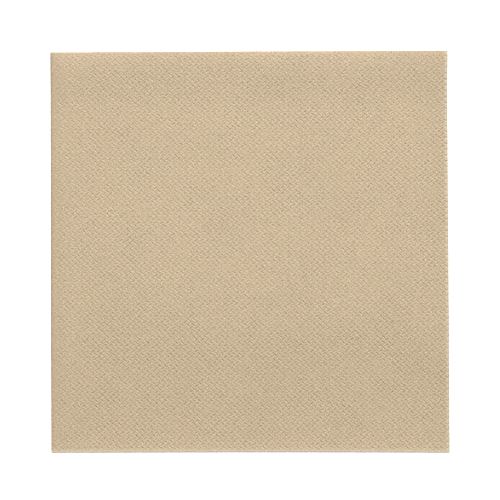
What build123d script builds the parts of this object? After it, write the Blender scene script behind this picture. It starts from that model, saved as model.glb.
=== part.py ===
from build123d import *
import os
from math import pi

# A paper napkin folded in four, lying flat. Sizes are in millimetres.
# One sheet is folded in half at its +Y side, and the pair is folded in half again at its -X side.
# The origin is the middle of the underside, with +Z up through the layers.

# Driving dimensions
folded_width = 198.0  # X, from the last fold to the cut edges
folded_depth = 200.0  # Y, from the cut edges to the first fold
sheet_thickness = 0.32  # two embossed plies, which are joined and make one sheet
panel_gap = 0.20  # air between two panels that lie on each other
fold_offset = 0.80  # how far the inner panels reach past the outer ones at the -Y edges

# What the folding makes of them
pair_thickness = 2 * sheet_thickness + panel_gap
stack_height = 2 * pair_thickness + panel_gap
creep = pi * (sheet_thickness + panel_gap) / 2  # the outer panels lose this much at the +X edges

# Places
cut_x = folded_width / 2  # cut edges of the inner panels
last_fold_x = stack_height / 2 - folded_width / 2  # axis of the last fold
cut_y = -folded_depth / 2  # cut edges of the inner panels
first_fold_y = folded_depth / 2 - pair_thickness / 2  # axis of the first fold


def pair_section():
    """The pair after the first fold: outer panel below, inner panel above, a half-round fold between."""
    outer_end = cut_y + fold_offset
    top = pair_thickness
    underside = Line((outer_end, 0), (first_fold_y, 0))
    outside = ThreePointArc(
        (first_fold_y, 0), (folded_depth / 2, top / 2), (first_fold_y, top)
    )
    upper_side = Line((first_fold_y, top), (cut_y, top))
    inner_edge = Line((cut_y, top), (cut_y, top - sheet_thickness))
    inner_face = Line((cut_y, top - sheet_thickness), (first_fold_y, top - sheet_thickness))
    inside = ThreePointArc(
        (first_fold_y, top - sheet_thickness),
        (first_fold_y + panel_gap / 2, top / 2),
        (first_fold_y, sheet_thickness),
    )
    outer_face = Line((first_fold_y, sheet_thickness), (outer_end, sheet_thickness))
    outer_edge = Line((outer_end, sheet_thickness), (outer_end, 0))
    outline = [
        underside, outside, upper_side, inner_edge, inner_face, inside, outer_face, outer_edge
    ]
    return Plane.YZ.offset(last_fold_x) * make_face(outline)


def lower_pair():
    """The two panels that the napkin lies on."""
    return extrude(pair_section(), amount=cut_x - last_fold_x)


def last_fold():
    """The pair turned over half a circle, so that the inner panel ends up inside."""
    axis = Axis((last_fold_x, 0, stack_height / 2), (0, 1, 0))
    return revolve(pair_section(), axis=axis, revolution_arc=180)


def creep_trim():
    """What a square-cut sheet lacks at the +X edges: the outer panels travel further round the fold."""
    margin = 1.0
    far_x = cut_x + margin
    lower = Polyline(
        (cut_x - creep, -margin),
        (cut_x - creep, sheet_thickness),
        (cut_x, pair_thickness - sheet_thickness),
        (far_x, pair_thickness - sheet_thickness),
        (far_x, -margin),
        close=True,
    )
    profile = Plane.XZ * make_face(lower)
    return extrude(profile, amount=folded_depth, both=True)


def folded_napkin():
    """The whole napkin as one folded sheet."""
    lower = lower_pair() - creep_trim()
    upper = mirror(lower, about=Plane.XY.offset(stack_height / 2))
    return lower + last_fold() + upper


os.makedirs("parts", exist_ok=True)
napkin = folded_napkin()
napkin.label = "folded_napkin"
export_step(napkin, "parts/folded_napkin.step")
print("solids", len(napkin.solids()), "valid", napkin.is_valid)
print("volume", round(napkin.volume, 1), "mm3, box", napkin.bounding_box().size)
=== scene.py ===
# %% [markdown]
# # A paper napkin, folded in four
#
# One square sheet of unbleached tissue is folded in half, and in half again. It is modelled as what it is:
# a flat sheet with a thickness, which a fold rule lays on itself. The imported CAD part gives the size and
# the place.

# %% Load the frame
import math

import bpy
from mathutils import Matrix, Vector


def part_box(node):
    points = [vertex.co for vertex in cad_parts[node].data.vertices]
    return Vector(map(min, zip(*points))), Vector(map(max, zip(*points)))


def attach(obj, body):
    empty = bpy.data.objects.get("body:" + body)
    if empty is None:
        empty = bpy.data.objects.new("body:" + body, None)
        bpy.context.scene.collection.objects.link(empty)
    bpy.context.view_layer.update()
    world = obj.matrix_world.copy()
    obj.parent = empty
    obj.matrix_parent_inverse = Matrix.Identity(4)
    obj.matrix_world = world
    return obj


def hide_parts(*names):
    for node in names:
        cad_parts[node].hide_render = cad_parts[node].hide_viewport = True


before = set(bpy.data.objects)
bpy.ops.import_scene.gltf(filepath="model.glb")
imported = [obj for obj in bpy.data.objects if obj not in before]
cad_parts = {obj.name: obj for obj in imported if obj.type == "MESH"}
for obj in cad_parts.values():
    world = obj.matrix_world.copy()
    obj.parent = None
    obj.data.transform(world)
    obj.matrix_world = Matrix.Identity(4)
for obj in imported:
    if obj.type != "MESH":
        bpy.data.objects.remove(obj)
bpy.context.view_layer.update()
NODE = "folded_napkin"
MM = 0.001
low, high = (Vector(corner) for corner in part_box(NODE))
folded_width, folded_depth, stack_height = high - low
print(f"folded napkin {folded_width:.4f} x {folded_depth:.4f} x {stack_height:.5f} m")

# %% [markdown]
# ## The camera
#
# The napkin is looked at from straight above. The distance follows from the lens and from how much of the
# view's width the napkin fills, a little less than four fifths. The camera is turned by a hair, as one that
# is levelled by hand is.

# %% Camera straight above
SENSOR = 36 * MM
LENS = 100 * MM
NEAREST, FARTHEST = 0.01, 20.0  # what is between these distances, in metres, is seen
VIEW_SHARE = 0.7952  # of the view's width, taken by the folded width
CAMERA_ROLL = math.radians(-0.15)
AIM = Vector((0.35 * MM, 0.95 * MM, 0))  # the middle of the view, a little towards the first fold

view_width = folded_width / VIEW_SHARE
camera_height = stack_height + view_width * LENS / SENSOR
camera_data = bpy.data.cameras.new("overhead_camera")
camera_data.sensor_width = SENSOR / MM
camera_data.lens = LENS / MM
camera_data.clip_start = NEAREST
camera_data.clip_end = FARTHEST
camera = bpy.data.objects.new("overhead_camera", camera_data)
camera.location = AIM + Vector((0, 0, camera_height))
camera.rotation_euler = (0, 0, CAMERA_ROLL)
bpy.context.collection.objects.link(camera)
bpy.context.scene.camera = camera
print(f"camera {camera_height:.3f} m above the table, {view_width:.4f} m in view")

# %% [markdown]
# ## Sums written as Python
#
# A geometry tree and a shader tree both do their sums with nodes, and a formula of twenty nodes is hard to
# read as twenty calls. A small class wraps an output socket instead, so that `a * b + 1` or `1 - a` adds the
# nodes for it. Every other node comes from its method `node`.


# %% A socket that can be used in a sum
class Value:
    """An output socket of a node tree, which the usual signs work on."""

    def __init__(self, socket):
        self.socket = socket
        self.tree = socket.id_data

    def node(self, kind, settings=None, inputs=None, out=0):
        """Any node in the same tree."""
        return add_node(self.tree, kind, settings, inputs, out)

    def math(self, operation, *others):
        """A math node that takes the value first, then the others."""
        return self.node("ShaderNodeMath", {"operation": operation}, dict(enumerate((self, *others))))

    def __add__(self, other):
        return self.math("ADD", other)

    def __sub__(self, other):
        return self.math("SUBTRACT", other)

    def __rsub__(self, other):
        return (self * -1) + other

    def __mul__(self, other):
        return self.math("MULTIPLY", other)

    def __truediv__(self, other):
        return self.math("DIVIDE", other)

    def __rtruediv__(self, other):
        return self.math("POWER", -1) * other

    def __pow__(self, other):
        return self.math("POWER", other)

    def __abs__(self):
        return self.math("ABSOLUTE")

    __radd__ = __add__
    __rmul__ = __mul__

    def span(self, from_low, from_high, to_low=0.0, to_high=1.0, smooth=False):
        """The value carried from one range to another, and held at its ends."""
        way = "SMOOTHSTEP" if smooth else "LINEAR"
        settings = {"interpolation_type": way, "clamp": True}
        ends = {"From Min": from_low, "From Max": from_high, "To Min": to_low, "To Max": to_high}
        return self.node("ShaderNodeMapRange", settings, {"Value": self, **ends})

    def mix(self, at_zero, at_one):
        """at_zero where the value is 0, at_one where it is 1."""
        return self * (at_one - at_zero) + at_zero


print("a Value takes + - * / ** and abs, math, span and mix")


# %% Nodes, vectors and noise
def add_node(tree, kind, settings=None, inputs=None, out=0):
    """A node with its settings made first, then the values or links of its sockets."""
    made = tree.nodes.new(kind)
    for name, value in (settings or {}).items():
        setattr(made, name, value)
    for key, value in (inputs or {}).items():
        if isinstance(value, Value):
            tree.links.new(value.socket, made.inputs[key])
        else:
            made.inputs[key].default_value = value
    return Value(made.outputs[out]) if len(made.outputs) else None


def vector(x, y, z=0.0):
    """Three numbers as one vector."""
    return x.node("ShaderNodeCombineXYZ", None, {"X": x, "Y": y, "Z": z})


def parts_of(whole):
    """A vector's three numbers."""
    split = whole.node("ShaderNodeSeparateXYZ", None, {"Vector": whole})
    return tuple(Value(socket) for socket in split.socket.node.outputs)


def noise(at, size, seed, detail=2.0, roughness=0.5):
    """Smooth noise from about 0 to 1, with grains of a size in metres."""
    sockets = {"Vector": at, "W": seed, "Scale": 1 / size, "Detail": detail, "Roughness": roughness}
    return at.node("ShaderNodeTexNoise", {"noise_dimensions": "4D"}, sockets)


print("helpers:", ", ".join(helper.__name__ for helper in (add_node, vector, parts_of, noise)))

# %% [markdown]
# ## The sheet and its folds
#
# The sheet is cut nearly square. Folding keeps its length along every layer. One half is a little longer
# than the other, and it ends up inside, so at the -Y edges the inner panels reach past the outer ones. At
# the +X edges they do so too, because the outer panels go round a wider fold. The thickness and the offset
# are the paper's own, and the rest follows from the frame.

# %% Sizes of the sheet
THICKNESS = 0.32 * MM
FOLD_OFFSET = 0.80 * MM  # the inner panels reach this far past the outer ones at the -Y edges
LAYERS = 4
QUARTER_TURN = math.pi / 2

gap = (stack_height - LAYERS * THICKNESS) / (LAYERS - 1)
pair_height = 2 * THICKNESS + gap
first_radius = (THICKNESS + gap) / 2  # of the sheet's middle, in the first fold
inner_radius = (THICKNESS + gap) / 2  # and in the last fold, for the two panels inside
outer_radius = (stack_height - THICKNESS) / 2  # and for the two panels outside
first_fold_y = high.y - pair_height / 2
last_fold_x = low.x + stack_height / 2
creep = QUARTER_TURN * (outer_radius - inner_radius)

half_width = high.x - last_fold_x + QUARTER_TURN * inner_radius
inner_length = first_fold_y - low.y + QUARTER_TURN * first_radius
outer_length = inner_length - FOLD_OFFSET
flat_size = (2 * half_width, inner_length + outer_length)
print(f"flat sheet {flat_size[0]:.4f} x {flat_size[1]:.4f} m, gap {gap / MM:.2f} mm")
print(f"inner panels {creep / MM:.2f} mm past the outer ones at +X")

# %% [markdown]
# ## The fold rule as Geometry Nodes
#
# A cloth simulation could fold the sheet too, but its folds would land a little elsewhere each time a number
# changes, and a rule is exact. A thin box with many faces is the sheet lying flat, and each of its points is
# told its folded place. The main sizes are named inputs of the tree. They are in metres, apart from the
# counts and one share.


# %% The geometry tree's inputs
def new_tree(name, inputs):
    """An empty geometry tree with a mesh output and named inputs."""
    tree = bpy.data.node_groups.new(name, "GeometryNodeTree")
    tree.is_modifier = True
    for label, (kind, value) in inputs.items():
        socket = tree.interface.new_socket(label, in_out="INPUT", socket_type=kind)
        if value is not None:
            socket.default_value = value
    tree.interface.new_socket("Mesh", in_out="OUTPUT", socket_type="NodeSocketGeometry")
    return tree


FLOAT, WHOLE = "NodeSocketFloat", "NodeSocketInt"
FOLD_COLUMNS, FLAT_COLUMNS, EDGE_COLUMNS = 18, 62, 9
columns = FOLD_COLUMNS + FLAT_COLUMNS + EDGE_COLUMNS
sheet_inputs = {
    "Half width": (FLOAT, half_width),
    "Inner length": (FLOAT, inner_length),
    "Outer length": (FLOAT, outer_length),
    "Thickness": (FLOAT, THICKNESS),
    "First fold radius": (FLOAT, first_radius),
    "Pair height": (FLOAT, pair_height),
    "Stack height": (FLOAT, stack_height),
    "First fold y": (FLOAT, first_fold_y),
    "Last fold x": (FLOAT, last_fold_x),
    "Fold columns": (FLOAT, FOLD_COLUMNS),
    "Flat columns": (FLOAT, FLAT_COLUMNS),
    "Edge columns": (FLOAT, EDGE_COLUMNS),
    "Vertices across": (WHOLE, 2 * columns + 1),
    "Spring": (FLOAT, 0.55 * MM),  # how far the stack opens behind its folds
    "Ridge": (FLOAT, 0.35 * MM),  # how much further just behind the first fold
    "Puff": (FLOAT, 0.92 * MM),  # how much higher the middle stands
    "Wave": (FLOAT, 0.25 * MM),  # how far the top rises and falls
    "Pressed": (FLOAT, 0.18),  # the share of its height that is left at the -Y edges
    "Taper": (FLOAT, 0.85 * MM),  # how much deeper the napkin is at +X than at -X
    "Slant": (FLOAT, 0.98 * MM),  # of the +X edges over their length
    "Lean": (FLOAT, 0.35 * MM),  # of the last fold over its length
    "Flare": (FLOAT, 0.35 * MM),  # outwards beside the first fold
    "Bow": (FLOAT, 0.30 * MM),  # of the -Y edges, whose ends stand out further than their middle
    "Slip": (FLOAT, 0.30 * MM),  # of the outer panels towards -Y
    "Material": ("NodeSocketMaterial", None),
}
tree = new_tree("fold_in_four", sheet_inputs)
group_in = tree.nodes.new("NodeGroupInput")
given = {label: Value(group_in.outputs[label]) for label in sheet_inputs}
print(f"{len(given)} inputs, {columns} columns on each side of a fold")

# %% [markdown]
# ## Columns where the shape needs them
#
# The box's columns of faces are even, and the tree first spreads them unevenly over the flat sheet: close
# together at the folds and near the cut edges, where the shape changes, and far apart between. The last one
# at a cut edge is a few hundredths of a millimetre wide. The sheet's walls are shaded flat and its panels
# smooth, and the renderer lets the first spoil the last column of the second, so that column has to be too
# narrow to see.

# %% Where each column of the box lies on the flat sheet
FOLD_ZONE_U, FOLD_ZONE_V, EDGE_ZONE = 3.0 * MM, 1.6 * MM, 4.0 * MM
RIM_COLUMN = 0.03 * MM  # the last one at a cut edge


def along_sheet(place, half_length, fold_zone):
    """Distance from the fold, from the column's place between -0.5 and 0.5 in the box."""
    column = abs(place) * (2 * columns)
    flat_starts = given["Fold columns"]
    edge_starts = flat_starts + given["Flat columns"]
    ends = edge_starts + given["Edge columns"]
    near_fold = column.span(0.0, flat_starts, 0.0, fold_zone)
    flat = column.span(flat_starts, edge_starts, 0.0, half_length - (fold_zone + EDGE_ZONE))
    near_edge = column.span(edge_starts, ends - 1, 0.0, EDGE_ZONE - RIM_COLUMN)
    at_edge = column.span(ends - 1, ends, 0.0, RIM_COLUMN)
    return place.math("SIGN") * (near_fold + flat + near_edge + at_edge)


box_place = add_node(tree, "GeometryNodeInputPosition")
box_x, box_y, box_z = parts_of(box_place)
is_inner = box_y.math("GREATER_THAN", 0.0)
half_length = is_inner.mix(given["Outer length"], given["Inner length"])
sheet_u = along_sheet(box_x, given["Half width"], FOLD_ZONE_U)
sheet_v = along_sheet(box_y, half_length, FOLD_ZONE_V)
side = box_z.math("SIGN")
offset = side * given["Thickness"] * 0.5
print(f"columns of {FOLD_ZONE_U / FOLD_COLUMNS / MM:.2f} mm at the last fold")
print(f"columns of {FOLD_ZONE_V / FOLD_COLUMNS / MM:.2f} mm at the first fold")

# %% [markdown]
# ## Round both folds
#
# Paper doesn't stretch, so a point keeps its distance from a fold as measured along the sheet's middle. Up
# to a quarter turn that distance lies on the arc, and what is left of it lies straight on behind. The first
# fold makes a pair of panels. The last one folds that pair, so its radius depends on how high in the pair
# the point is.


# %% Round the first fold, then round the last one
def arc(along, radius):
    """How far round its fold a point of the sheet is, in radians, and how far past the fold it lies."""
    angle = (along / radius).math("MAXIMUM", -QUARTER_TURN).math("MINIMUM", QUARTER_TURN)
    past = (abs(along) - radius * QUARTER_TURN).math("MAXIMUM", 0.0)
    return angle, past


first_angle, past_first = arc(sheet_v, given["First fold radius"])
cos_first = first_angle.math("COSINE")
sin_first = first_angle.math("SINE")
pair_y = given["First fold y"] + given["First fold radius"] * cos_first - past_first
pair_z = given["Pair height"] * 0.5 + given["First fold radius"] * sin_first

last_radius = given["Stack height"] * 0.5 - pair_z
last_angle, past_last = arc(sheet_u, last_radius)
cos_last = last_angle.math("COSINE")
sin_last = last_angle.math("SINE")
wall_radius = last_radius - offset * sin_first
middle_x = given["Last fold x"] - last_radius * cos_last + past_last
middle_z = given["Stack height"] * 0.5 + last_radius * sin_last
folded_x = given["Last fold x"] - wall_radius * cos_last + past_last
folded_y = pair_y + offset * cos_first
folded_z = given["Stack height"] * 0.5 + wall_radius * sin_last
print(f"{len(tree.nodes)} nodes fold the sheet")

# %% [markdown]
# ## How it lies
#
# Pressed folds hold the layers together, and behind them the stack opens, most of all close behind the
# first fold. Its middle puffs up, and the top rises and falls in slow waves. Cutting has pressed the layers
# thin along the -Y edges, and a little along the +X edges. Heights and thicknesses shrink by the same share
# there, so no layer cuts into the next.

# %% Spring, puff, waves and pressed edges
SHOULDER = 3.0 * MM  # the distance from a fold over which the stack opens
RIDGE_STARTS, RIDGE_ENDS = 6 * MM, 26 * MM  # the ridge dies away between these, behind the first fold
FRONT_SLOPE, SIDE_SLOPE, BACK_RISE = 85 * MM, 30 * MM, 120 * MM  # widths of the rise from each edge
SIDE_FIRMNESS = 0.6  # 0 would press the +X edges as thin as the -Y edges, 1 not at all
BROAD_WAVE, LOCAL_WAVE, BROAD_SHARE = 70 * MM, 22 * MM, 0.7
NOISE_GAIN = 4  # a noise mostly keeps within a quarter of its middle, 0.5


def settle(distance):
    """0 at a fold, 1 a few shoulders away from it."""
    return 1 - (distance / SHOULDER * -1).math("EXPONENT")


def wander(size, seed):
    """Smooth noise between about -1 and 1 over the napkin's plan."""
    return (noise(plan, size, seed, detail=1.0) - 0.5) * NOISE_GAIN


level = middle_z / given["Stack height"]  # 0 at the table, 1 on top
plan = vector(middle_x, pair_y)
from_last = (middle_x - (given["Last fold x"] - given["Stack height"] * 0.5)).math("MAXIMUM", 0.0)
from_first = (given["First fold y"] + given["Pair height"] * 0.5 - pair_y).math("MAXIMUM", 0.0)
to_cut_x = (high.x - middle_x).math("MAXIMUM", 0.0)
to_cut_y = (pair_y - low.y).math("MAXIMUM", 0.0)

ridge = from_first.span(RIDGE_STARTS, RIDGE_ENDS, given["Ridge"], 0.0, smooth=True)
broad = wander(BROAD_WAVE, seed=3.7)
local = wander(LOCAL_WAVE, seed=8.1)
waves = broad * BROAD_SHARE + local * (1 - BROAD_SHARE)
opening = given["Spring"] + ridge + given["Wave"] * waves
sprung = settle(from_last) * settle(from_first) * opening

rise_back = from_first.span(RIDGE_STARTS, BACK_RISE, smooth=True)
rise_last = from_last.span(0.0, SIDE_SLOPE, smooth=True)
rise_front = to_cut_y.span(0.0, FRONT_SLOPE, smooth=True)
rise_side = to_cut_x.span(0.0, SIDE_SLOPE, smooth=True)
puff = given["Puff"] * rise_back * rise_last * rise_front * rise_side

pressed_front = to_cut_y.span(0.0, FRONT_SLOPE, given["Pressed"], 1.0, smooth=True)
side_pressed = given["Pressed"] * (1 - SIDE_FIRMNESS) + SIDE_FIRMNESS
pressed_side = to_cut_x.span(0.0, SIDE_SLOPE, side_pressed, 1.0, smooth=True)
pressed = pressed_front.math("MINIMUM", pressed_side)
lifted_z = (folded_z + sprung * level) * pressed + puff * level
print(f"{len(tree.nodes)} nodes with the way it lies")

# %% [markdown]
# ## The outline's small errors
#
# No machine folds or cuts quite square. The napkin is deeper at +X than at -X, its +X edges slant, its last
# fold leans, both sides flare beside the first fold, the -Y edges are bowed, and the outer panels have
# slipped over the inner ones. Each error is under a millimetre, and is a formula in where a point lies in
# the plan. So the layers move together and none cuts into the next. Only the slip is for the outer panels
# alone.

# %% Taper, slant, lean, flare, bow and slip
SLANT_INSIDE = 0.175  # the share of the slant that goes inwards, beside the first fold
FLARE_ENDS = 20 * MM  # behind the first fold
FLARE_LAST, FLARE_CUT = 0.5, 1.0  # shares of the flare on the last fold's side and on the cut side
BOW_MIDDLE = 0.3  # the share of the bow by which the middle of the -Y edges stands out too
BOW_POWER, SLIP_POWER = 6, 2  # the higher, the closer to the -Y edges it stays
EDGE_WANDER, EDGE_WAVE_X, EDGE_WAVE_Y = 0.06 * MM, 11 * MM, 9 * MM

across = middle_x / (given["Half width"] * 0.5)  # -1 at the last fold, 1 at the +X edges
along = pair_y / (given["Inner length"] * 0.5)  # -1 at the -Y edges, 1 at the first fold
to_right = across * 0.5 + 0.5  # 0 at the last fold, 1 at the +X edges
to_front = along * -0.5 + 0.5  # 0 at the first fold, 1 at the -Y edges

taper = given["Taper"] * (to_right - 0.5) * (0.5 - to_front)
bow = given["Bow"] * (across * across + BOW_MIDDLE) * to_front ** BOW_POWER
slip = given["Slip"] * (1 - is_inner) * to_front ** SLIP_POWER
wander_y = wander(EDGE_WAVE_Y, seed=1.3) * EDGE_WANDER
shifted_y = folded_y + taper - bow - slip + wander_y

slant = given["Slant"] * (to_front - SLANT_INSIDE) * to_right
lean = given["Lean"] * (0.5 - to_front) * (1 - to_right)
near_first = from_first.span(0.0, FLARE_ENDS, 1.0, 0.0, smooth=True)
flare = given["Flare"] * near_first * (to_right * (FLARE_LAST + FLARE_CUT) - FLARE_LAST)
wander_x = wander(EDGE_WAVE_X, seed=5.9) * EDGE_WANDER
shifted_x = folded_x + slant + lean + flare + wander_x
print(f"{len(tree.nodes)} nodes with the outline's errors")

# %% [markdown]
# ## Marks for the finish
#
# The embossing was pressed before the folding, so it follows the paper round its folds. The material
# therefore reads where on the flat sheet a point is, and that place is kept as an attribute. A second map
# lays the sheet out for textures: the two outer panels, which show, get most of it, and the hidden sides
# get a narrow band.

# %% A map of the sheet
TOP_SHARE = 0.62  # of the map's width, for the half that ends up on top
OUTER_ROWS, INNER_ROWS, BACK_ROWS = (0.0, 0.74), (0.0, 0.08), (0.83, 0.91)
WALL_ROWS_Y, WALL_ROWS_X, WALL_ROW = (0.92, 0.94), (0.96, 0.98), 0.01

box_normal = add_node(tree, "GeometryNodeInputNormal")
normal_x, normal_y, normal_z = parts_of(box_normal)
on_front = normal_z.math("GREATER_THAN", 0.5)
on_back = normal_z.math("LESS_THAN", -0.5)
on_wall_x = abs(normal_x).math("GREATER_THAN", 0.5)
on_wall_y = abs(normal_y).math("GREATER_THAN", 0.5)

part_u = sheet_u / given["Half width"]  # from -1 at one cut edge to 1 at the other
part_v = sheet_v / half_length
sheet_column = part_u.span(-1.0, 0.0) * (1 - TOP_SHARE) + part_u.span(0.0, 1.0) * TOP_SHARE
map_x = on_wall_x.mix(sheet_column, part_v.span(-1.0, 1.0))
front_row = part_v.span(-1.0, 0.0, *OUTER_ROWS) + part_v.span(0.0, 1.0, *INNER_ROWS)
back_row = part_v.span(-1.0, 1.0, *BACK_ROWS)
wall_step = side.span(-1.0, 1.0, 0.0, WALL_ROW)
wall_row_y = is_inner.mix(*WALL_ROWS_Y) + wall_step
wall_row_x = box_x.math("GREATER_THAN", 0.0).mix(*WALL_ROWS_X) + wall_step
map_y = on_front * front_row + on_back * back_row + on_wall_y * wall_row_y + on_wall_x * wall_row_x
print(f"the top half takes {TOP_SHARE:.0%} of the map's width")


# %% From the box to the folded sheet
def store(mesh, name, value, data_type, domain):
    """Keeps a value on the mesh under a name."""
    settings = {"data_type": data_type, "domain": domain}
    sockets = {"Geometry": mesh, "Name": name, "Value": value}
    return mesh.node("GeometryNodeStoreNamedAttribute", settings, sockets)


def then(mesh, kind, settings=None, **sockets):
    """The next step of a mesh through the tree."""
    named = {key.replace("_", " "): value for key, value in sockets.items()}
    return mesh.node(kind, settings, {"Geometry": mesh, **named})


box_sockets = {
    "Size": (1.0, 1.0, 1.0),
    "Vertices X": given["Vertices across"],
    "Vertices Y": given["Vertices across"],
}
flat_box = add_node(tree, "GeometryNodeMeshCube", None, box_sockets)
on_panel = (on_front + on_back).math("GREATER_THAN", 0.5)
placed = store(flat_box, "sheet", vector(sheet_u, sheet_v, offset), "FLOAT_VECTOR", "POINT")
mapped = store(placed, "OFBake", vector(map_x, map_y), "FLOAT2", "CORNER")
shaded = then(mapped, "GeometryNodeSetShadeSmooth", {"domain": "FACE"}, Shade_Smooth=on_panel)
folded = then(shaded, "GeometryNodeSetPosition", Position=vector(shifted_x, shifted_y, lifted_z))
realized = then(folded, "GeometryNodeRealizeInstances")
finished = then(realized, "GeometryNodeSetMaterial", Material=given["Material"])
add_node(tree, "NodeGroupOutput", None, {"Mesh": finished})
print(f"{len(tree.nodes)} nodes in the folding tree")

# %% [markdown]
# ## The finish: unbleached tissue
#
# The paper is matt and light brown, because the pulp isn't bleached. Its tone drifts in clouds and small
# flocs, its tint between a greener and a pinker brown, and single fibres show as a fine grain. A painted
# texture would blur close by. Noise at each of these sizes doesn't, and it needs no file.

# %% Shades of the paper
PAPER = (0.599, 0.4685, 0.309)
TONE_RANGE = 0.40  # the darkest and palest colours are this far from the paper's own
GREENER, PINKER = (0.991, 1.005, 0.995), (1.009, 0.995, 1.005)
COLOUR_A, COLOUR_B, COLOUR_RESULT = 6, 7, 2  # sockets of the mix node whose names others have too
NOISE_MIDDLE = (0.3, 0.7)  # nearly all of a noise lies between these


def blend(factor, at_zero, at_one):
    """A mix of two colours."""
    sockets = {"Factor": factor, COLOUR_A: at_zero, COLOUR_B: at_one}
    return factor.node("ShaderNodeMix", {"data_type": "RGBA"}, sockets, out=COLOUR_RESULT)


def toned(share, tint):
    """The paper's colour made darker or paler and tinted, in linear values with an alpha."""
    return tuple(channel * share * part for channel, part in zip(PAPER, tint)) + (1.0,)


def shade(tone, hue):
    """The paper's colour for a tone around 0 and a hue from 0, greener, to 1, pinker."""
    factor = tone.span(-TONE_RANGE, TONE_RANGE)
    ends = (1 - TONE_RANGE, 1 + TONE_RANGE)
    tinted = [blend(factor, *(toned(end, tint) for end in ends)) for tint in (GREENER, PINKER)]
    return blend(hue, *tinted)


print(f"paper {PAPER}, from {1 - TONE_RANGE:.1f} to {1 + TONE_RANGE:.1f} of it")

# %% [markdown]
# ## The embossing
#
# A roller has pressed short dashes into the tissue, in rows that lean one way and the other by turns, so
# that they look woven. Two lattices of dashes make that, half a repeat apart. At tens of thousands of dashes
# they are too many for the mesh, so they are bump. Each one is a pit with a rim of paper pushed up round
# it. They wander a little, are pressed unevenly, and are ironed out along the folds and the cut edges.

# %% One lattice of leaning dashes
CELL_U, CELL_V = 2.855 * MM, 2.900 * MM  # the pattern repeats after these
DASH_LENGTH, DASH_WIDTH = 0.38, 0.115  # from a dash's middle to where it is shallow, in repeats
WEAKEST, STRONGEST = 0.70, 1.25  # how deep a single dash is, as a share of the usual depth
RIM, RIM_WIDTH = 0.5, 1.8  # height and reach of the rim, as shares of the dash's own
DIAGONAL = math.sqrt(0.5)


def dashes(repeats_u, repeats_v, lean, seed):
    """Dashes pressed at the middle of each repeat: 1 where they are deepest, 0 between them."""
    column, row = (repeats_u + 0.5).math("FLOOR"), (repeats_v + 0.5).math("FLOOR")
    x, y = repeats_u - column, repeats_v - row
    length_way = (x + y * lean) * DIAGONAL
    width_way = (x - y * lean) * DIAGONAL
    reach = (length_way / DASH_LENGTH) ** 2 + (width_way / DASH_WIDTH) ** 2
    pit = (reach * -1.0).math("EXPONENT") * (1 + RIM)
    rim = (reach * (-1 / RIM_WIDTH ** 2)).math("EXPONENT") * RIM
    number = vector(column, row, seed)
    chance = number.node("ShaderNodeTexWhiteNoise", {"noise_dimensions": "3D"}, {"Vector": number})
    return (pit - rim) * chance.span(0.0, 1.0, WEAKEST, STRONGEST)


dash_count = 2 * flat_size[0] / CELL_U * flat_size[1] / CELL_V
print(f"about {dash_count:.0f} dashes on the sheet")

# %% The whole pattern
WARP, WARP_SIZE = 0.26, 9 * MM  # how far the rows wander, in repeats
PATCH_SIZE, PATCH_RANGE, PATCH_DEPTHS = 11 * MM, (0.30, 0.65), (0.85, 1.12)
RAGGED, RAGGED_SIZE = 0.9 * MM, 5 * MM  # how far the border of an ironed band wanders
LAST_FOLD_BAND = (2.6 * MM, 3.9 * MM)  # the embossing starts between these distances from the fold
FIRST_FOLD_BAND = (0.9 * MM, 2.1 * MM)
CUT_BAND = (1.2 * MM, 2.6 * MM)  # from the longer half's cut edge
WEAK_BAND = (3.0 * MM, 25 * MM, 0.72, 1.0)  # distances from the last fold, and the depth at each


def embossing(place, u, v):
    """The depth of the whole pattern, from 0 to about 1, faded where the paper was pressed flat."""
    warp_u = noise(place, WARP_SIZE, seed=2.0, detail=1.0) - 0.5
    warp_v = noise(place, WARP_SIZE, seed=6.0, detail=1.0) - 0.5
    repeats_u = u / CELL_U + warp_u * WARP
    repeats_v = v / CELL_V + warp_v * WARP
    leaning_back = dashes(repeats_u, repeats_v, lean=-1.0, seed=0.3)
    leaning_on = dashes(repeats_u + 0.5, repeats_v + 0.5, lean=1.0, seed=0.7)
    pattern = leaning_back + leaning_on
    patchy = noise(place, PATCH_SIZE, seed=4.0).span(*PATCH_RANGE, *PATCH_DEPTHS, smooth=True)
    ragged = noise(place, RAGGED_SIZE, seed=9.0, detail=1.0).span(*NOISE_MIDDLE, -RAGGED, RAGGED)
    by_last_fold = (abs(u) + ragged).span(*LAST_FOLD_BAND) * abs(u).span(*WEAK_BAND)
    by_first_fold = (abs(v) + ragged).span(*FIRST_FOLD_BAND)
    by_cut = (inner_length - abs(v) + ragged * 0.5).span(*CUT_BAND)
    return pattern * patchy * by_last_fold * by_first_fold * by_cut


print(f"embossing starts {LAST_FOLD_BAND[0] / MM:.1f} mm from the last fold")

# %% [markdown]
# ## Tones by the folds and the cut edges, with painted shade and light
#
# Along the last fold the paper has a crease and is darker, and part of that darkening is painted shade of
# the fold.
# It is also a little darker behind the first fold and beside the +X edges. Near the -Y edges it is made
# paler, as painted light, and right at the cut edges the torn fibres stand up and are paler still. Along the
# -Y edges that last paleness is also painted light on the strip of lower panels, which lies in the top
# panel's shade. All of it depends only on the distance to a fold or an edge, so plain ranges of those
# distances make it.

# %% Tones and frayed edges
# Along the last fold the paper is darker: partly the pressed crease's own tone, partly painted shade of the
# fold.
CREASE_AND_SHADE_WIDE = (1.2 * MM, 8.0 * MM, 0.045, 0.0)  # distances from the last fold, how much darker at each
CREASE_AND_SHADE_NARROW = (1.2 * MM, 2.2 * MM, 0.065, 0.0)
DARKER_BACK = (20 * MM, 32 * MM, 0.030, 0.0)  # the same, from the first fold
DARKER_SIDE = (5 * MM, 35 * MM, 0.030, 0.0)  # and from the +X edges
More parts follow.
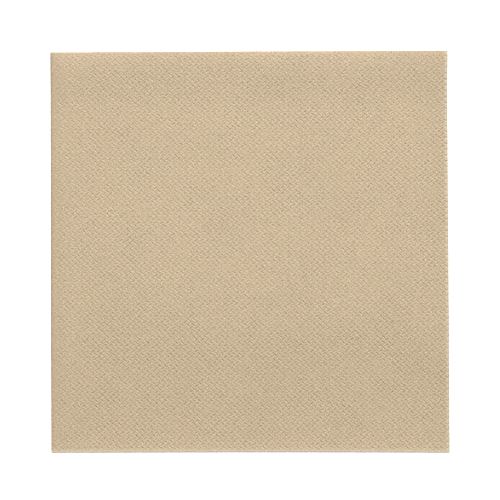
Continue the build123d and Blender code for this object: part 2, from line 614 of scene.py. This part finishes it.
# Towards the -Y edges the paper is made paler, as painted light.
PAINTED_LIGHT_FRONT = (0.0, 8.0 * MM, 0.05, 0.0)  # distances from the -Y edges, how much paler at each
# Along the -Y edges the pale edge colour is partly painted light, which lifts the lower panels' strip out of
# the top panel's shade.
FRAY_AND_LIGHT_BAND = (0.0, 1.7 * MM, 1.0, 0.0)  # distances from a cut edge, how frayed at each
FRAYED_AND_LIT_FRONT, FRONT_SHARE = (0.80, 0.72, 0.60, 1.0), 0.7
FRAYED_SIDE, SIDE_SHARE = (0.80, 0.69, 0.52, 1.0), 0.6


def edge_distances(u, v):
    """How far a place on the sheet is from the +X and the -Y cut edges."""
    reach_v = v.math("GREATER_THAN", 0.0).mix(outer_length, inner_length)
    return half_width - abs(u), reach_v - abs(v)


def fold_and_edge_tones(u, v, to_side, to_front):
    """How much paler or, below 0, darker the paper is near the folds and the edges, painted shade and light
    among it.
    """
    # Part of the darkening along the last fold is painted shade.
    crease_and_shade = abs(u).span(*CREASE_AND_SHADE_WIDE) + abs(u).span(*CREASE_AND_SHADE_NARROW)
    darker_back_and_side = abs(v).span(*DARKER_BACK, smooth=True) + to_side.span(*DARKER_SIDE)
    # The paleness towards the -Y edges is painted light.
    return to_front.span(*PAINTED_LIGHT_FRONT) - crease_and_shade - darker_back_and_side


def frayed_and_lit(colour, to_side, to_front):
    """The colour with the pale fibres of the cut edges over it, and along the -Y edges painted light on the
    strip that lies in shade.
    """
    with_side = blend(to_side.span(*FRAY_AND_LIGHT_BAND) ** 2 * SIDE_SHARE, colour, FRAYED_SIDE)
    return blend(to_front.span(*FRAY_AND_LIGHT_BAND) ** 2 * FRONT_SHARE, with_side, FRAYED_AND_LIT_FRONT)


print(f"frayed over {FRAY_AND_LIGHT_BAND[1] / MM:.1f} mm, creased over {CREASE_AND_SHADE_WIDE[1] / MM:.0f} mm")

# %% [markdown]
# ## The tissue material
#
# The layers above come together here. The pits of the embossing are glazed by the roller, so they shine a
# little where the paper between them is matt. The crepe of the tissue, a fine wrinkle, is bump too. It and
# the fibres are longer one way than the other, as in any paper that a machine made.

# %% The tissue material
CLOUD_SIZE, CLOUD_TONE = 30 * MM, 0.09
FLOC_SIZE, FLOC_TONE = 2.5 * MM, 0.14
FIBRE_SIZE, FIBRE_TONE, FIBRE_HEIGHT = 0.45 * MM, 1.50, 0.06
SPECK_SIZE, SPECK_TONE, SPECK_RANGE = 0.9 * MM, 0.12, (0.74, 0.80)  # only the noise's peaks
CREPE_SIZE, CREPE_HEIGHT = 0.75 * MM, 0.16
HUE_SIZE = 6 * MM
SHORTENED_U = 0.7  # distances in u count for this much in fibres and crepe, which makes them longer
GRAIN = {"detail": 1.0, "roughness": 0.6}
# The second number darkens the pits in the colour: partly the pressed paper's own tone, partly painted shade
# in the pits.
DASH_DEPTH, DASH_TONE_AND_SHADE = 0.190, 0.03  # this depth and the heights above are in mm
MATT, GLAZED, GLAZED_FROM = 0.90, 0.34, 0.7  # two roughnesses, and the depth from which a pit is glazed


def tissue():
    """Matt brown tissue: mottled pulp, a few specks, fine crepe and the pressed dashes."""
    material = bpy.data.materials.new("unbleached_tissue")
    material.use_nodes = True
    nodes = material.node_tree
    nodes.nodes.clear()
    place = add_node(nodes, "ShaderNodeAttribute", {"attribute_name": "sheet"}, out=1)
    u, v, _ = parts_of(place)
    stretched = vector(u * SHORTENED_U, v)
    edges = edge_distances(u, v)
    pattern = embossing(place, u, v)

    clouds = noise(place, CLOUD_SIZE, seed=1.0) - 0.5
    flocs = noise(place, FLOC_SIZE, seed=3.0) - 0.5
    fibres = noise(stretched, FIBRE_SIZE, seed=5.0, **GRAIN) - 0.5
    specks = noise(place, SPECK_SIZE, seed=7.0, detail=0.0).span(*SPECK_RANGE)
    pulp = clouds * CLOUD_TONE + flocs * FLOC_TONE + fibres * FIBRE_TONE - specks * SPECK_TONE
    # The pits' darkening below is partly painted shade in them.
    tone = pulp - pattern * DASH_TONE_AND_SHADE + fold_and_edge_tones(u, v, *edges)
    hue = noise(place, HUE_SIZE, seed=11.0).span(*NOISE_MIDDLE)
    # Along the -Y edges the pale cut edges are partly painted light.
    colour = frayed_and_lit(shade(tone, hue), *edges)

    crepe = noise(stretched, CREPE_SIZE, seed=8.0, **GRAIN) - 0.5
    height = crepe * CREPE_HEIGHT + fibres * FIBRE_HEIGHT - pattern * DASH_DEPTH
    bump = place.node("ShaderNodeBump", None, {"Strength": 1.0, "Distance": MM, "Height": height})
    roughness = pattern.span(0.0, GLAZED_FROM, MATT, GLAZED)
    sockets = {"Base Color": colour, "Roughness": roughness, "Normal": bump}
    shader = place.node("ShaderNodeBsdfPrincipled", None, sockets)
    add_node(nodes, "ShaderNodeOutputMaterial", None, {"Surface": shader})
    print(f"{len(nodes.nodes)} nodes in the tissue material")
    return material


tissue_material = tissue()

# %% [markdown]
# ## The napkin itself
#
# An object with an empty mesh wears the folding tree. The material is set by its input's identifier before
# the tree is first evaluated. The result becomes a plain mesh, which rides on the root body in place of the
# plain CAD sheet.


# %% Fold the sheet
def made_by(tree, name, **values):
    """A plain mesh object from a geometry tree, with some inputs set."""
    start = bpy.data.objects.new(name + "_start", bpy.data.meshes.new(name + "_start"))
    bpy.context.collection.objects.link(start)
    modifier = start.modifiers.new("folding", "NODES")
    modifier.node_group = tree
    for item in tree.interface.items_tree:
        if item.in_out == "INPUT" and item.name in values:
            modifier[item.identifier] = values[item.name]
    depsgraph = bpy.context.evaluated_depsgraph_get()
    mesh = bpy.data.meshes.new_from_object(start.evaluated_get(depsgraph))
    mesh.name = name
    bpy.data.objects.remove(start)
    made = bpy.data.objects.new(name, mesh)
    bpy.context.collection.objects.link(made)
    return made


napkin = made_by(tree, "tissue_sheet", Material=tissue_material)
triangles = sum(len(face.vertices) - 2 for face in napkin.data.polygons)
print(f"{triangles} triangles, attributes {[a.name for a in napkin.data.attributes]}")

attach(napkin, "root")
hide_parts(NODE)

# %% [markdown]
# ## The table
#
# The table is a plain pale surface. If it were only lit it would come out a little grey, so what the camera
# sees of it has some light of its own, and it is white. The rest of its colour comes from the lamp and the
# room, which keeps the napkin's soft shadow.

# %% The table
TABLE_SIZE = 4.0
TABLE_COLOUR = (0.80, 0.80, 0.80, 1.0)
TABLE_GLOW = 0.70


def seen_directly(tree):
    """1 for a ray from the camera, from a mirror or through glass, 0 for the light that falls on things."""
    rays = add_node(tree, "ShaderNodeLightPath").socket.node
    names = ("Is Camera Ray", "Is Glossy Ray", "Is Transmission Ray")
    camera_ray, glossy, clear = (Value(rays.outputs[name]) for name in names)
    return camera_ray.math("MAXIMUM", glossy).math("MAXIMUM", clear)


def table_material():
    """A matt white that glows a little where it is seen directly."""
    material = bpy.data.materials.new("pale_table")
    material.use_nodes = True
    nodes = material.node_tree
    nodes.nodes.clear()
    matt = add_node(nodes, "ShaderNodeBsdfDiffuse", None, {"Color": TABLE_COLOUR})
    glow = add_node(nodes, "ShaderNodeEmission", None, {"Strength": seen_directly(nodes) * TABLE_GLOW})
    both = add_node(nodes, "ShaderNodeAddShader", None, {0: matt, 1: glow})
    add_node(nodes, "ShaderNodeOutputMaterial", None, {"Surface": both})
    return material


half_table = TABLE_SIZE / 2
table_corners = [(x * half_table, y * half_table, low.z) for x, y in ((-1, -1), (1, -1), (1, 1), (-1, 1))]
table_mesh = bpy.data.meshes.new("table_top")
table_mesh.from_pydata(table_corners, [], [(0, 1, 2, 3)])
table_mesh.materials.append(table_material())
table = bpy.data.objects.new("table_top", table_mesh)
bpy.context.collection.objects.link(table)
print(f"table {TABLE_SIZE} m wide, glow {TABLE_GLOW}")

# %% [markdown]
# ## The lamp and the room
#
# One large lamp stands beyond the first fold and a little to the right, low enough to draw the embossing.
# Its size keeps the shadows soft. The room's even light fills the rest. Seen directly the room is white, so
# the far background is as pale as the table from every side.

# %% The lamp
LAMP_BEARING = math.radians(11)  # to the right of straight ahead
LAMP_ELEVATION = math.radians(42)
LAMP_DISTANCE = 6.0
LAMP_SIZE = 2.2
LAMP_POWER = 440.0

level_reach = math.cos(LAMP_ELEVATION)
lamp_x = math.sin(LAMP_BEARING) * level_reach
lamp_y = math.cos(LAMP_BEARING) * level_reach
lamp_way = Vector((lamp_x, lamp_y, math.sin(LAMP_ELEVATION)))
lamp_data = bpy.data.lights.new("soft_box", "AREA")
lamp_data.shape = "SQUARE"
lamp_data.size = LAMP_SIZE
lamp_data.energy = LAMP_POWER
lamp = bpy.data.objects.new("soft_box", lamp_data)
lamp.location = lamp_way * LAMP_DISTANCE
lamp.rotation_euler = lamp_way.to_track_quat("Z", "Y").to_euler()
bpy.context.collection.objects.link(lamp)
print(f"lamp {LAMP_POWER} W at {LAMP_DISTANCE} m")

# %% The room
ROOM_LIGHT = 0.225  # of the room's white, as light that falls on things
ROOM_COLOUR = (1.0, 1.0, 1.0, 1.0)

world = bpy.data.worlds.new("pale_room")
bpy.context.scene.world = world
world.use_nodes = True
room = world.node_tree
room.nodes.clear()
room_strength = seen_directly(room) * (1 - ROOM_LIGHT) + ROOM_LIGHT
room_sockets = {"Color": ROOM_COLOUR, "Strength": room_strength}
background = add_node(room, "ShaderNodeBackground", None, room_sockets)
add_node(room, "ShaderNodeOutputWorld", None, {"Surface": background})
bpy.context.scene.view_settings.view_transform = "Standard"
print(f"room light {ROOM_LIGHT}")
